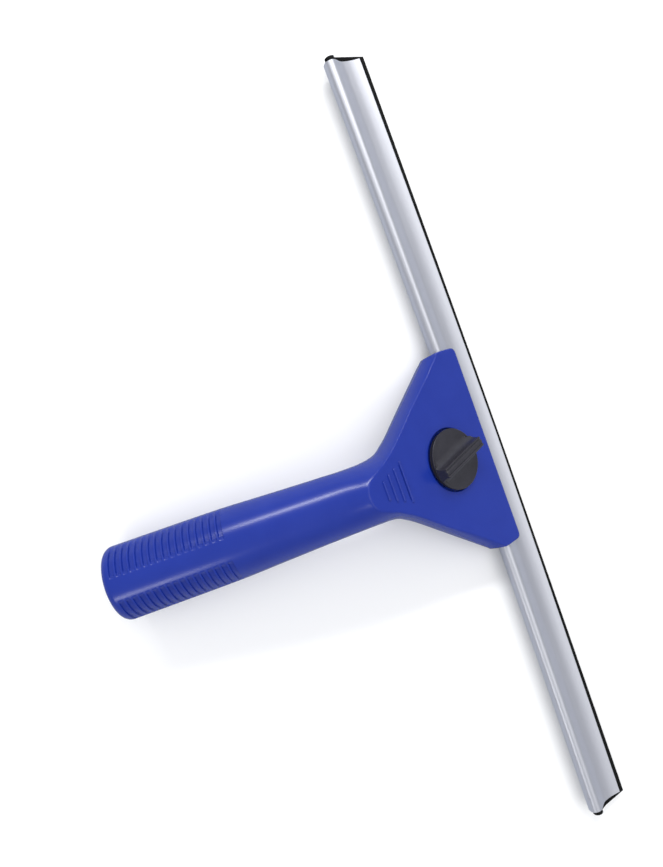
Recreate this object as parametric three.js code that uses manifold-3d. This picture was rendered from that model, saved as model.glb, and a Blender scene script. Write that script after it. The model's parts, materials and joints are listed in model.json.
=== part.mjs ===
// Window cleaning squeegee, 350 mm (14 in) channel, clamped in a fixed-angle head by a thumbscrew.
// Millimetres. +X along the blade, +Y from the grip to the blade, +Z up, lying on a table at z = 0.
import * as THREE from 'three';
import { mergeVertices } from 'three/addons/utils/BufferGeometryUtils.js';
import Module from 'manifold-3d';

const wasm = await Module();
wasm.setup();

// ---------------------------------------------------------------- driving dimensions
const CHANNEL_LENGTH = 350;      // aluminium channel, 14 in nominal
const HEAD_OFFSET = 2.8;         // head centre plane, measured from the middle of the channel
const RUBBER_OVERHANG = 0.7;     // rubber past each channel end, at the lip
const RUBBER_END_SLANT = 0.107;  // the rubber's ends are trimmed slanting, more overhang at the bead
const GAP = 0.35;                // working clearance between touching pieces
const rad = THREE.MathUtils.degToRad;

// Everything below is laid out with the channel lying flat, its upper lip at y = 1 and its lower lip at
// z = 0. The whole is turned and moved onto the table at the end.
const REST_TILT = rad(0.46);     // it lies on the channel's lower lip and the grip's end
const GRIP_END = new THREE.Vector3(0, -173.4, 16.39);  // centre of the grip's end face
const HANDLE_PITCH = rad(7.88);  // the handle rises towards the head
const END_ROUND = 3.1;           // rounded edge of the grip's end, along the grip
const END_INSET = 2.7;           // and across it
const SOCKET_DEPTH = 70;         // tapered socket for an extension pole
const SOCKET_R_MOUTH = 10.5;
const SOCKET_R_END = 9.7;
const CORE_R = 8.6;              // coring beyond the socket
const CORE_END = 101;
const GROOVE_PITCH = 2.85;
const GROOVE_FIRST = 4.85;
const GROOVE_COUNT = 17;
const GROOVE_DEPTH = 0.7;

const PANEL_SLOPE = rad(31.2);   // sloping top of the head
const PANEL_EDGE = [-4.79, 8.0]; // (y, z) of its front edge
const SCREW_AT = 23.84;          // distance up the panel from its front edge to the screw axis
const KNOB_R = 13.08;
const KNOB_TOP = 2.03;           // top of the knob's disc above the panel
const RECESS_R = 13.95;
const RECESS_DEPTH = 1.9;
const WING_ANGLE = rad(14.5);    // where the wing stands when the clamp is tight
const WING_LENGTH = 25.6;
const WING_HEIGHT = 6.0;
const STUD_R = 3.0;              // M6

const BLUE = '#2f3d9a', CHARCOAL = '#3b3b43', ALU = '#c3c6d0', STEEL = '#b9bcc0', RUBBER = '#101012';

// ---------------------------------------------------------------- small helpers
const lerp = (a, b, t) => a + (b - a) * t;
const smooth = (a, b, x) => THREE.MathUtils.smoothstep(x, a, b);

// Smooth interpolation through a station table [[y, value], ...] (monotone cubic).
function table(rows) {
  const n = rows.length, h = [], m = [], t = [];
  for (let i = 0; i < n - 1; i++) {
    h.push(rows[i + 1][0] - rows[i][0]);
    m.push((rows[i + 1][1] - rows[i][1]) / h[i]);
  }
  t.push(m[0]);
  for (let i = 1; i < n - 1; i++) {
    t.push(m[i - 1] * m[i] <= 0 ? 0 : 3 * (h[i - 1] + h[i])
      / ((2 * h[i] + h[i - 1]) / m[i - 1] + (h[i] + 2 * h[i - 1]) / m[i]));
  }
  t.push(m[n - 2]);
  return (y) => {
    if (y <= rows[0][0]) return rows[0][1];
    if (y >= rows[n - 1][0]) return rows[n - 1][1];
    let i = 0;
    while (y > rows[i + 1][0]) i++;
    const s = (y - rows[i][0]) / h[i], s2 = s * s, s3 = s2 * s;
    return rows[i][1] * (2 * s3 - 3 * s2 + 1) + h[i] * t[i] * (s3 - 2 * s2 + s)
      + rows[i + 1][1] * (3 * s2 - 2 * s3) + h[i] * t[i + 1] * (s3 - s2);
  };
}

// Closed surface through rings of equal point count, capped at both ends.
function loft(rings) {
  const n = rings[0].length, pos = [], idx = [];
  rings.forEach((r) => r.forEach((p) => pos.push(p[0], p[1], p[2])));
  for (let k = 0; k < rings.length - 1; k++) {
    for (let i = 0; i < n; i++) {
      const j = (i + 1) % n, a = k * n, b = a + n;
      idx.push(a + i, a + j, b + j, a + i, b + j, b + i);
    }
  }
  [[rings[0], 0, 1], [rings[rings.length - 1], (rings.length - 1) * n, 0]].forEach(([ring, base, flip]) => {
    const c = ring.reduce((s, p) => [s[0] + p[0] / n, s[1] + p[1] / n, s[2] + p[2] / n], [0, 0, 0]);
    const at = pos.length / 3;
    pos.push(...c);
    for (let i = 0; i < n; i++) {
      const j = (i + 1) % n;
      if (flip) idx.push(at, base + j, base + i); else idx.push(at, base + i, base + j);
    }
  });
  const g = new THREE.BufferGeometry();
  g.setAttribute('position', new THREE.Float32BufferAttribute(pos, 3));
  g.setIndex(idx);
  return g;
}

function solid(geometry) {
  let g = geometry.clone();
  g.deleteAttribute('normal');
  g.deleteAttribute('uv');
  g = mergeVertices(g, 1e-5);
  const p = g.attributes.position.array;
  const tri = Uint32Array.from(g.index.array);
  let vol = 0;
  for (let i = 0; i < tri.length; i += 3) {
    const [a, b, c] = [0, 1, 2].map((k) => new THREE.Vector3().fromArray(p, 3 * tri[i + k]));
    vol += a.dot(b.cross(c));
  }
  if (vol < 0) for (let i = 0; i < tri.length; i += 3) [tri[i], tri[i + 1]] = [tri[i + 1], tri[i]];
  return new wasm.Manifold(new wasm.Mesh({ numProp: 3, vertProperties: Float32Array.from(p), triVerts: tri }));
}

function geometryOf(manifold) {
  const mesh = manifold.getMesh();
  const g = new THREE.BufferGeometry();
  g.setAttribute('position', new THREE.Float32BufferAttribute(mesh.vertProperties, 3));
  g.setIndex(new THREE.Uint32BufferAttribute(mesh.triVerts, 1));
  return g;
}

// Side profile [[y, z], ...] extruded along X from x0 to x1.
function extrudeX(profile, x0, x1) {
  const shape = new THREE.Shape(profile.map(([y, z]) => new THREE.Vector2(y, z)));
  const g = new THREE.ExtrudeGeometry(shape, { depth: x1 - x0, bevelEnabled: false });
  // shape x -> Y, shape y -> Z, depth -> X
  g.applyMatrix4(new THREE.Matrix4().makeBasis(
    new THREE.Vector3(0, 1, 0), new THREE.Vector3(0, 0, 1), new THREE.Vector3(1, 0, 0)));
  return g.translate(x0, 0, 0);
}

const arc = (cy, cz, r, a0, a1, n) => Array.from({ length: n + 1 }, (_, i) => {
  const a = rad(lerp(a0, a1, i / n));
  return [cy + r * Math.cos(a), cz + r * Math.sin(a)];
});

const curve = (points, n) => new THREE.CatmullRomCurve3(
  points.map(([y, z]) => new THREE.Vector3(y, z, 0)), false, 'centripetal').getPoints(n).map((p) => [p.x, p.y]);

// ---------------------------------------------------------------- frames of the handle and of the panel
const axisDir = new THREE.Vector3(0, Math.cos(HANDLE_PITCH), Math.sin(HANDLE_PITCH));
const axisUp = new THREE.Vector3(0, -Math.sin(HANDLE_PITCH), Math.cos(HANDLE_PITCH));
const sideways = new THREE.Vector3(1, 0, 0);
const panelZ = (y) => PANEL_EDGE[1] + (PANEL_EDGE[0] - y) * Math.tan(PANEL_SLOPE);
const panelNormal = new THREE.Vector3(0, Math.sin(PANEL_SLOPE), Math.cos(PANEL_SLOPE));
const panelUphill = new THREE.Vector3(0, -Math.cos(PANEL_SLOPE), Math.sin(PANEL_SLOPE));
const onPanel = (s, x = 0) => new THREE.Vector3(x, PANEL_EDGE[0], PANEL_EDGE[1]).addScaledVector(panelUphill, s);
const screwFoot = onPanel(SCREW_AT);
// local z of this frame is the screw axis, local y points down the panel towards the blade
const screwFrame = new THREE.Matrix4().makeBasis(
  sideways, panelUphill.clone().negate(), panelNormal).setPosition(screwFoot);
const handleFrame = new THREE.Matrix4().makeBasis(sideways, axisUp, axisDir).setPosition(GRIP_END);

// Solid of revolution about the local z of a frame, profile [[r, z], ...] from axis to axis or closed.
function turned(profile, frame, segments = 36) {
  const g = new THREE.LatheGeometry(profile.map(([r, z]) => new THREE.Vector2(r, z)), segments);
  g.rotateX(Math.PI / 2);
  return g.applyMatrix4(frame);
}
const rod = (r, z0, z1, frame, segments = 36) => turned([[0, z0], [r, z0], [r, z1], [0, z1]], frame, segments);
const tube = (ri, ro, z0, z1, frame, segments = 36) =>
  turned([[ri, z0], [ro, z0], [ro, z1], [ri, z1], [ri, z0]], frame, segments);

// ---------------------------------------------------------------- channel and rubber profiles (y, z)
const BEAD = [-12.75, 7.8];
const BORE_R = 2.5;              // bore for the rubber's bead
const WEB_LIP = [1, 2.0], WEB_BEND = [-7.6, 3.67];
function strip(offset, ends) {   // line parallel to the web: lip -> bend -> towards the bead
  const pts = [ends, WEB_BEND, BEAD];
  const dir = (a, b) => { const l = Math.hypot(b[0] - a[0], b[1] - a[1]); return [(b[0] - a[0]) / l, (b[1] - a[1]) / l]; };
  const d0 = dir(pts[0], pts[1]), d1 = dir(pts[1], pts[2]);
  const nrm = (d) => [-d[1] * offset, d[0] * offset];
  const n0 = nrm(d0), n1 = nrm(d1), k = 1 + (d0[0] * d1[0] + d0[1] * d1[1]);
  return [[pts[0][0] + n0[0], pts[0][1] + n0[1]],
    [WEB_BEND[0] + (n0[0] + n1[0]) / k, WEB_BEND[1] + (n0[1] + n1[1]) / k],
    [BEAD[0] + n1[0], BEAD[1] + n1[1]]];
}
const keyhole = (half, beadR, lipEnd) => {   // web of the given half thickness joined to a round bead
  const over = strip(-half, lipEnd), under = strip(half, lipEnd);
  const web = Math.atan2(WEB_BEND[1] - BEAD[1], WEB_BEND[0] - BEAD[0]) * 180 / Math.PI;
  const open = Math.asin(half / beadR) * 180 / Math.PI;
  return [over[0], over[1], ...arc(BEAD[0], BEAD[1], beadR, web + open, web + 360 - open, 22), under[1], under[0]];
};
const CHANNEL_BACK = -16.26;
const channelTop = [[1, 4.2], [-1.4, 4.42], [-3.95, 4.93], [-6.0, 5.62], [-7.62, 6.35], [-9.1, 7.7], [-10.66, 9.7],
  [-12.0, 10.95], [-13.49, 11.25], [-15.0, 10.75], [-16.0, 9.3], [CHANNEL_BACK, 7.5]];
const channelUnder = [[-15.7, 5.7], [-14.2, 4.55], [-12.1, 4.1], [-10.3, 2.75], [-8.6, 1.62], [-7.0, 1.3], [-3.0, 0.62],
  [1, 0.02]];
function channelProfile() {
  const inner = keyhole(1.2, BORE_R, WEB_LIP);
  return [...curve(channelTop, 30), ...curve(channelUnder, 16), ...inner.reverse()];
}
function channelCorridor(gap) {   // what the head and jaw must leave free around the channel's top and back
  const top = curve(channelTop, 30);
  const out = top.map(([y, z], i) => {
    const a = top[Math.max(0, i - 1)], b = top[Math.min(top.length - 1, i + 1)];
    const l = Math.hypot(b[0] - a[0], b[1] - a[1]);
    return [y + gap * (b[1] - a[1]) / l, z - gap * (b[0] - a[0]) / l];
  });
  return out;
}

// ---------------------------------------------------------------- handle moulding
const gripBody = table([[0, 15.6], [19, 15.4], [49, 15.0], [69, 14.15], [89, 13.3], [101, 12.9]]);
const gripRadius = (s) => gripBody(s) - END_INSET * (1 - Math.sqrt(1 - Math.max(0, 1 - s / END_ROUND) ** 2));
const K = 9;                     // points per quarter section
function gripRing(s, groove) {
  const c = GRIP_END.clone().addScaledVector(axisDir, s);
  return Array.from({ length: 4 * K }, (_, i) => {
    const phi = (i / (4 * K)) * 2 * Math.PI;
    const side = Math.asin(Math.min(1, Math.abs(Math.sin(phi))));   // angle from the top or the bottom
    const band = smooth(rad(17.5), rad(23.5), side) * (1 - smooth(rad(62), rad(80), side));
    const r = gripRadius(s) - (groove ? GROOVE_DEPTH * band : 0);
    return c.clone().addScaledVector(sideways, r * Math.sin(phi)).addScaledVector(axisUp, r * Math.cos(phi)).toArray();
  });
}
// Head section tables by y: half width at the widest, its height, half width of the flat top, bottom, squareness.
const headHalf = table([[-72, 12.85], [-66, 12.8], [-62, 13.0], [-59, 13.4], [-56.3, 14.2], [-53.6, 15.9], [-51, 17.7],
  [-48, 20.1], [-46, 21.83], [-21.8, 42.75], [-20.3, 44.05], [-17.5, 44.6], [-13.65, 45.1], [-9, 45.0], [-6.4, 44.8],
  [-5.3, 44.2], [-4.79, 43.0]]);
const headWide = table([[-72, 30.4], [-66, 30.2], [-60, 28.4], [-54, 25.4], [-45, 21.4], [-35, 17.0], [-27, 13.5],
  [-20.3, 10.5], [-17.5, 11.6], [-13.65, 12.4], [-9, 9.6], [-4.79, 7.2]]);
const APEX = -65.8; // where the neck's top meets the sloping panel
const flatHalf = table([[-66.6, 0], [-66, 2.9], [-64.8, 5.3], [-62.4, 7.1], [-59.4, 8.7], [-54.9, 10.9], [-51.5, 13.1],
  [-43, 20.0], [-35.8, 26.3], [-28.6, 31.9], [-22.5, 36.8], [-17.5, 41.2], [-13.5, 44.5], [-9, 44.4], [-6.4, 44.2],
  [-5.3, 43.5], [-4.79, 42.4]]);
const headTop = table([[-72, 43.85], [-69, 44.5], [-67.4, 44.85], [-66.4, 44.97], [APEX, 44.95]]);
const headBottom = table([[-72, 17.45], [-66, 18.2], [-60, 18.0], [-54, 15.8], [-48, 12.8], [-40, 9.2], [-30, 5.2],
  [-22, 2.6], [-18, 2.0], [-4.79, 2.0]]);
const squareness = table([[-66, 2], [-50, 3.2], [-36, 6], [-24, 9], [-4.79, 9]]);
function headRing(y, inset = null) {
  const t = inset ? inset.top : 0, w = inset ? inset.side : 0;
  const W = headHalf(y) - w;
  const F = Math.max(0, Math.min(flatHalf(y), headHalf(y) - 0.4) - w * 0.8);
  const T = (y > APEX ? panelZ(y) : headTop(y)) - t;
  const S = Math.min(headWide(y) - t * 0.5, T - 0.5);
  const B = inset ? inset.floor : headBottom(y);
  const n = squareness(y), first = lerp(1, 0.02, smooth(-69, -62, y));
  // the side starts as the neck's round bar, cut by the flat top, and turns into a steep face
  const steep = smooth(-64, -50, y), cut = Math.asin(F / W);
  const half = [[0, T]];
  for (let j = 1; j <= K; j++) {
    const k = (j - 1 + first) / (K - 1 + first), u = k * Math.PI / 2, bar = lerp(cut, Math.PI / 2, k);
    half.push([lerp(W * Math.sin(bar), F + (W - F) * Math.sin(u) ** 1.5, steep),
      S + (T - S) * lerp(Math.cos(bar) / Math.cos(cut), Math.max(0, Math.cos(u)) ** 1.5, steep)]);
  }
  for (let j = 1; j <= K; j++) {
    const v = (j / K) * Math.PI / 2, c = Math.max(0, Math.cos(v));
    half.push([j === K ? 0 : W * c ** (2 / n), S - (S - B) * Math.sin(v) ** (2 / n)]);
  }
  const ring = half.map(([x, z]) => [x, y, z]);
  for (let j = 2 * K - 1; j >= 1; j--) ring.push([-half[j][0], y, half[j][1]]);
  return ring;
}

const rings = [0, 0.25, 0.9, 1.9].map((s) => gripRing(s, false));
for (let k = 0; k < GROOVE_COUNT; k++) {
  const s = GROOVE_FIRST + k * GROOVE_PITCH;
  rings.push(gripRing(s - GROOVE_PITCH / 2, false), gripRing(s, true));
}
rings.push(gripRing(GROOVE_FIRST + (GROOVE_COUNT - 0.5) * GROOVE_PITCH, false));
[59, 69, 81, 93].forEach((s) => rings.push(gripRing(s, false)));
const headStations = [-72, -69, -67.4, -66.4, APEX, -64.6, -63.2, -61.8, -60.5, -59.4, -57, -54.5, -52, -49, -45.5, -41, -36, -31,
  -26, -22.5, -20.3, -18.5, -16, -13.65, -11, -8, -6, -5.2, -4.79];
headStations.forEach((y) => rings.push(headRing(y)));
let handle = solid(loft(rings));

// seat for the channel: follows its top and back, open below and towards the blade
const seat = channelCorridor(GAP);
const corridor = [[6, seat[0][1]], ...seat, [CHANNEL_BACK - GAP, -4], [6, -4]];
handle = handle.subtract(solid(extrudeX(corridor, -60, 60)));
// hollow underside, with a wall all round
const POCKET = { top: 3.4, side: 3.2, floor: -4 };
const pocketStations = [-49, -46, -42, -38, -33, -28, -24, -20.5, -16.0];
const pocketRings = pocketStations.map((y) => headRing(y, POCKET).map(([x, py, z]) =>
  [THREE.MathUtils.clamp(x, -33.5, 33.5), py, z]));
let pocket = solid(loft(pocketRings));
const boss = solid(rod(6.2, -8.4, -1, screwFrame));
const stiffeners = [-1, 1].map((k) => solid(extrudeX([[-47, 34], [-47, 18], [-33, 12.5], [-21, 12.5], [-19, 15], [-19, 34]],
  k * 17 - 0.9, k * 17 + 0.9)));
pocket = pocket.subtract(boss).subtract(stiffeners[0]).subtract(stiffeners[1]);
handle = handle.subtract(pocket);
// screw bore and the recess that the knob sits in
handle = handle.subtract(solid(rod(STUD_R + GAP, -30, 5, screwFrame)));
handle = handle.subtract(solid(rod(RECESS_R, -RECESS_DEPTH, 12, screwFrame, 64)));
// pole socket and the coring beyond it
handle = handle.subtract(solid(turned([[0, -2], [SOCKET_R_MOUTH + 0.3, -2], [SOCKET_R_MOUTH, 0.6],
  [SOCKET_R_END, SOCKET_DEPTH], [0, SOCKET_DEPTH]], handleFrame, 48)));
handle = handle.subtract(solid(turned([[0, SOCKET_DEPTH - 1], [CORE_R, SOCKET_DEPTH - 1], [CORE_R - 0.6, CORE_END],
  [0, CORE_END + 3]], handleFrame, 32)));
// four thumb ribs across the top of the panel
[[63.3, 4.1], [59.8, 5.8], [56.2, 7.1], [52.3, 8.8]].forEach(([s, half]) => {
  const rib = new THREE.BoxGeometry(2 * half, 0.9, 1.9);
  rib.translate(0, 0, -0.45);
  rib.applyMatrix4(new THREE.Matrix4().makeBasis(sideways, panelUphill.clone().negate(), panelNormal)
    .setPosition(onPanel(s)));
  handle = handle.add(solid(rib));
});

// ---------------------------------------------------------------- knob: disc, wing and the boss under it
const DISC_BOTTOM = -0.5;
let knob = solid(turned([[0, DISC_BOTTOM], [KNOB_R - 0.5, DISC_BOTTOM], [KNOB_R, DISC_BOTTOM + 0.5],
  [KNOB_R, KNOB_TOP - 0.45], [KNOB_R - 0.15, KNOB_TOP - 0.13], [KNOB_R - 0.5, KNOB_TOP], [0, KNOB_TOP]], screwFrame, 64));
const wingSection = [[4.4, -0.6], [3.6, 0.15], [2.7, 1.0], [2.05, 2.4], [1.75, 4.0], [1.65, 5.5], [1.45, 5.9], [1.1, 6.0],
  [0.8, 5.75], [-0.8, 5.75], [-1.1, 6.0], [-1.45, 5.9], [-1.65, 5.5], [-1.75, 4.0], [-2.05, 2.4], [-2.7, 1.0],
  [-3.6, 0.15], [-4.4, -0.6]];
const wingStations = [-1, -0.93, -0.8, -0.6, -0.3, 0, 0.3, 0.6, 0.8, 0.93, 1];
const wingRings = wingStations.map((k) => {
  const y = k * WING_LENGTH / 2, crown = 1 - 0.10 * k * k - 0.10 * smooth(0.86, 1, Math.abs(k));
  const taper = 1 - 0.18 * smooth(0.86, 1, Math.abs(k));
  return wingSection.map(([x, z]) => {
    const w = z > 2 ? taper : Math.min(1, Math.sqrt(Math.max(0.02, 12.9 ** 2 - y * y)) / Math.abs(x || 1));
    return [x * w, y, KNOB_TOP + z * (WING_HEIGHT / 6.0) * (z > 0 ? crown : 1)];
  });
});
const wingFrame = screwFrame.clone().multiply(new THREE.Matrix4().makeRotationZ(WING_ANGLE));
knob = knob.add(solid(loft(wingRings).applyMatrix4(wingFrame)));
// blind bore from below for the moulded-in head of the stud
knob = knob.subtract(solid(rod(5.5, DISC_BOTTOM - 1, 1.0, screwFrame, 6)));

// ---------------------------------------------------------------- screw hardware, on the screw axis
const stud = solid(rod(5.1, DISC_BOTTOM + 0.1, 0.7, screwFrame, 6))
  .add(solid(rod(STUD_R, -16.6, 0.7, screwFrame, 24)))
  .subtract(solid(tube(2.3, 3.4, -9.75, -8.75, screwFrame, 24)));
const washer = solid(tube(STUD_R + 0.35, 9.0, -1.6, -0.8, screwFrame, 36));
const ringArc = [];
for (let i = 0; i <= 18; i++) {
  const a = rad(lerp(-62, 242, i / 18));
  ringArc.push([5.2 * Math.cos(a), 5.2 * Math.sin(a)]);
}
for (let i = 18; i >= 0; i--) {
  const a = rad(lerp(-62, 242, i / 18));
  ringArc.push([2.62 * Math.cos(a), 2.62 * Math.sin(a)]);
}
const ringGeometry = new THREE.ExtrudeGeometry(new THREE.Shape(ringArc.map(([x, y]) => new THREE.Vector2(x, y))),
  { depth: 0.4, bevelEnabled: false });
const retainer = solid(ringGeometry.translate(0, 0, -9.45).applyMatrix4(screwFrame));

// ---------------------------------------------------------------- clamp jaw with a pocket for its nut
const jawSide = [[-10.7, 2.3], [-12.35, 3.65], [-14.35, 4.05], [-16.0, 5.3], [-16.55, 6.1], [-19.4, 7.3],
  [-26, 8.6], [-33.5, 12.2], [-36.5, 12.2], [-39.2, 10.4], [-39.6, 8.9], [-30, 4.9], [-22, 2.4], [-16, 1.6], [-10.9, 1.55]];
const jawPlan = [[-32.6, -9], [-32.6, -22], [-22.5, -36], [-19.5, -42], [19.5, -42], [22.5, -36], [32.6, -22], [32.6, -9]];
const planGeometry = new THREE.ExtrudeGeometry(new THREE.Shape(jawPlan.map(([x, y]) => new THREE.Vector2(x, y))),
  { depth: 30, bevelEnabled: false }).translate(0, 0, -5);
let jaw = solid(extrudeX(jawSide, -34, 34)).intersect(solid(planGeometry));
[-1, 1].forEach((k) => {
  jaw = jaw.subtract(solid(extrudeX([[-48, 26], [-48, 8], [-33, 8], [-18.6, 8], [-18.6, 26]], k * 17 - 1.35, k * 17 + 1.35)));
});
jaw = jaw.add(solid(rod(8.6, -14.4, -10.5, screwFrame, 36)));         // thickened round the nut
jaw = jaw.subtract(solid(rod(6.6, -10.5, 4, screwFrame, 36)));        // clears the head's boss
jaw = jaw.subtract(solid(rod(STUD_R + GAP, -30, 0, screwFrame, 24)));
jaw = jaw.subtract(solid(rod(6.15, -13.9, -9, screwFrame, 6)));       // hexagonal nut pocket, open above
const nut = solid(rod(5.75, -13.6, -10.75, screwFrame, 6)).subtract(solid(rod(STUD_R + 0.3, -20, 0, screwFrame, 24)));

// ---------------------------------------------------------------- channel and rubber
const halfLength = CHANNEL_LENGTH / 2;
const channel = solid(extrudeX(channelProfile(), -halfLength, halfLength).translate(-HEAD_OFFSET, 0, 0));
const rubberProfile = keyhole(0.9, BORE_R - 0.3, [2.65, 1.72]);
const rubberGeometry = extrudeX(rubberProfile, -1, 1);
const rp = rubberGeometry.attributes.position;
for (let i = 0; i < rp.count; i++) {
  const end = halfLength + RUBBER_OVERHANG - RUBBER_END_SLANT * rp.getY(i);
  rp.setX(i, Math.sign(rp.getX(i)) * end - HEAD_OFFSET);
}
const rubber = solid(rubberGeometry);

// ---------------------------------------------------------------- assembly
const pieces = {                 // solid, colour, roughness, metalness
  handle_body: [handle, BLUE, 0.35, 0],
  thumbscrew_knob: [knob, CHARCOAL, 0.5, 0],
  thumbscrew_stud: [stud, STEEL, 0.3, 1],
  thumbscrew_washer: [washer, STEEL, 0.3, 1],
  stud_retaining_ring: [retainer, STEEL, 0.35, 1],
  clamp_jaw: [jaw, BLUE, 0.4, 0],
  jaw_nut: [nut, STEEL, 0.35, 1],
  blade_channel: [channel, ALU, 0.35, 1],
  rubber_blade: [rubber, RUBBER, 0.6, 0],
};
const lying = new THREE.Group();
lying.rotation.x = REST_TILT;
Object.entries(pieces).forEach(([name, [body, colour, roughness, metalness]]) => {
  const mesh = new THREE.Mesh(geometryOf(body), new THREE.MeshStandardMaterial({ color: colour, roughness, metalness }));
  mesh.name = name;
  lying.add(mesh);
});
lying.updateMatrixWorld(true);
const bounds = new THREE.Box3().setFromObject(lying, true);
const centre = bounds.getCenter(new THREE.Vector3());
lying.position.set(-centre.x, -centre.y, -bounds.min.z);

const group = new THREE.Group();
group.name = 'window_squeegee';
group.add(lying);

export default group;
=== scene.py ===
import json
import math
import bpy
import bmesh
from mathutils import Vector, Matrix


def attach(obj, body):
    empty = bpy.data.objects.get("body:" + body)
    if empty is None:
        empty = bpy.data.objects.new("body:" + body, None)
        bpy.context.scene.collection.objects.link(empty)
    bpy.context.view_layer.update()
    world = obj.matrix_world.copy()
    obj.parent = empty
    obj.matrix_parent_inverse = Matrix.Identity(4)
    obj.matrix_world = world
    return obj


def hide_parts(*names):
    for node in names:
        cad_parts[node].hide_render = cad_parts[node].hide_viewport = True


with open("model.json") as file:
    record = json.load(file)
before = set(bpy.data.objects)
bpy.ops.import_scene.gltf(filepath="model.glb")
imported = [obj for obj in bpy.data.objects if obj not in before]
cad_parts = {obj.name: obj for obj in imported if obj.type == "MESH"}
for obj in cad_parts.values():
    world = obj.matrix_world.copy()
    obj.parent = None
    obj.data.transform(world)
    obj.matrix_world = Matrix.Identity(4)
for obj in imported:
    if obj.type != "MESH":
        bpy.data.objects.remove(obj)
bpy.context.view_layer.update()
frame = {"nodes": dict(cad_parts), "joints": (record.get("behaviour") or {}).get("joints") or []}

# ---------------------------------------------------------------- sizes of the part, in mm, in the layout:
# +X along the blade, +Y from the grip to the blade, z = 0 under the channel
SLOPE = math.radians(31.2)          # sloping top of the head
PANEL_EDGE = (-4.79, 8.0)           # (y, z) of its front edge
SCREW_AT = 23.84                    # up the slope from that edge to the screw axis
GRIP_END = Vector((0, -173.4, 16.39))   # centre of the grip's end face
PITCH = math.radians(7.88)          # the handle rises towards the head
END_ROUND, END_INSET = 3.1, 2.7     # rounded edge of the grip's end, along and across
GROOVE_FIRST, GROOVE_PITCH, GROOVE_COUNT, GROOVE_DEPTH = 4.85, 2.85, 17, 0.75
FRONT_ROUND = 0.6                   # rounding of the panel's front edge
RECESS_R, RECESS_DEPTH = 13.6, 1.9  # round recess for the thumbscrew
KNOB_R, KNOB_BOTTOM, KNOB_TOP = 13.08, -0.5, 2.03
WING_ANGLE = math.radians(14.5)     # the wing stands askew to the handle
WING_HALF = 13.2                    # half of the wing's length
STUD_R = 3.0
GAP = 0.35                          # clearance between touching pieces
HALF_CHANNEL = 175.0
HEAD_OFFSET = 2.8                   # head centre plane from the middle of the channel
BEND = 1.7                          # the clamped channel bends this far forward at the head
BEND_MEAN = 0.7                     # of which this much is forward of the straight line
RUBBER_BEND, RUBBER_MEAN = 0.9, 0.25    # the same two for the rubber's edge

# ---------------------------------------------------------------- layout -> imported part
hinge = next(j for j in frame["joints"] if j["name"] == "thumbscrew_turn")
TILT = SLOPE - math.atan2(hinge["axis"][1], hinge["axis"][2])      # tip of the part on its table
UP_SLOPE = Vector((0, -math.cos(SLOPE), math.sin(SLOPE)))
NORMAL = Vector((0, math.sin(SLOPE), math.cos(SLOPE)))
SCREW_FOOT = Vector((0, *PANEL_EDGE)) + SCREW_AT * UP_SLOPE
TO_PART = (Matrix.Translation(Vector(hinge["pos_m"])) @ Matrix.Rotation(TILT, 4, "X")
           @ Matrix.Scale(0.001, 4) @ Matrix.Translation(-SCREW_FOOT))
AXIS = Vector((0, math.cos(PITCH), math.sin(PITCH)))
AXIS_UP = Vector((0, -math.sin(PITCH), math.cos(PITCH)))
SIDE = Vector((1, 0, 0))


def basis(x, y, z, origin):
    """Matrix of a frame with the given axes and origin."""
    axes = Matrix((x, y, z)).transposed().to_4x4()
    return Matrix.Translation(origin) @ axes


SCREW = basis(SIDE, -UP_SLOPE, NORMAL, SCREW_FOOT)      # local z is the screw axis, local y points downhill
HANDLE = basis(SIDE, -AXIS_UP, AXIS, GRIP_END)          # local z runs up the handle from its end

# ---------------------------------------------------------------- camera
LENS, SENSOR = 29.34, 36.0
SHIFT = (-0.0018, 0.0083)
EYE = Vector((-36.55, -95.55, 312.89))                  # in the layout, like everything here
RIGHT = Vector((0.34225, 0.93481, 0.0949))
DOWN = Vector((0.93878, -0.34444, 0.00728))
AHEAD = Vector((0.03949, 0.0866, -0.99546))


def make_camera():
    data = bpy.data.cameras.new("camera")
    cam = bpy.data.objects.new("camera", data)
    bpy.context.scene.collection.objects.link(cam)
    data.sensor_width = SENSOR
    data.lens = LENS
    data.shift_x, data.shift_y = SHIFT
    data.clip_end = 20.0
    turn = TO_PART.to_3x3().normalized()
    cam.matrix_world = basis(turn @ RIGHT, turn @ -DOWN, turn @ -AHEAD, TO_PART @ EYE)
    bpy.context.scene.camera = cam


# ---------------------------------------------------------------- helpers
def lerp(a, b, t):
    return a + (b - a) * t


def smooth(a, b, x):
    t = min(1.0, max(0.0, (x - a) / (b - a)))
    return t * t * (3 - 2 * t)


def table(rows):
    """Monotone cubic through (place, value) rows."""
    xs, ys = [r[0] for r in rows], [r[1] for r in rows]
    h = [b - a for a, b in zip(xs, xs[1:])]
    m = [(b - a) / d for a, b, d in zip(ys, ys[1:], h)]
    t = [m[0]]
    for i in range(1, len(m)):
        flat = m[i - 1] * m[i] <= 0
        t.append(0 if flat else 3 * (h[i - 1] + h[i])
                 / ((2 * h[i] + h[i - 1]) / m[i - 1] + (h[i] + 2 * h[i - 1]) / m[i]))
    t.append(m[-1])

    def at(x):
        if x <= xs[0]:
            return ys[0]
        if x >= xs[-1]:
            return ys[-1]
        i = 0
        while x > xs[i + 1]:
            i += 1
        s = (x - xs[i]) / h[i]
        return (ys[i] * (2 * s ** 3 - 3 * s * s + 1) + h[i] * t[i] * (s ** 3 - 2 * s * s + s)
                + ys[i + 1] * (3 * s * s - 2 * s ** 3) + h[i] * t[i + 1] * (s ** 3 - s * s))
    return at


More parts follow.
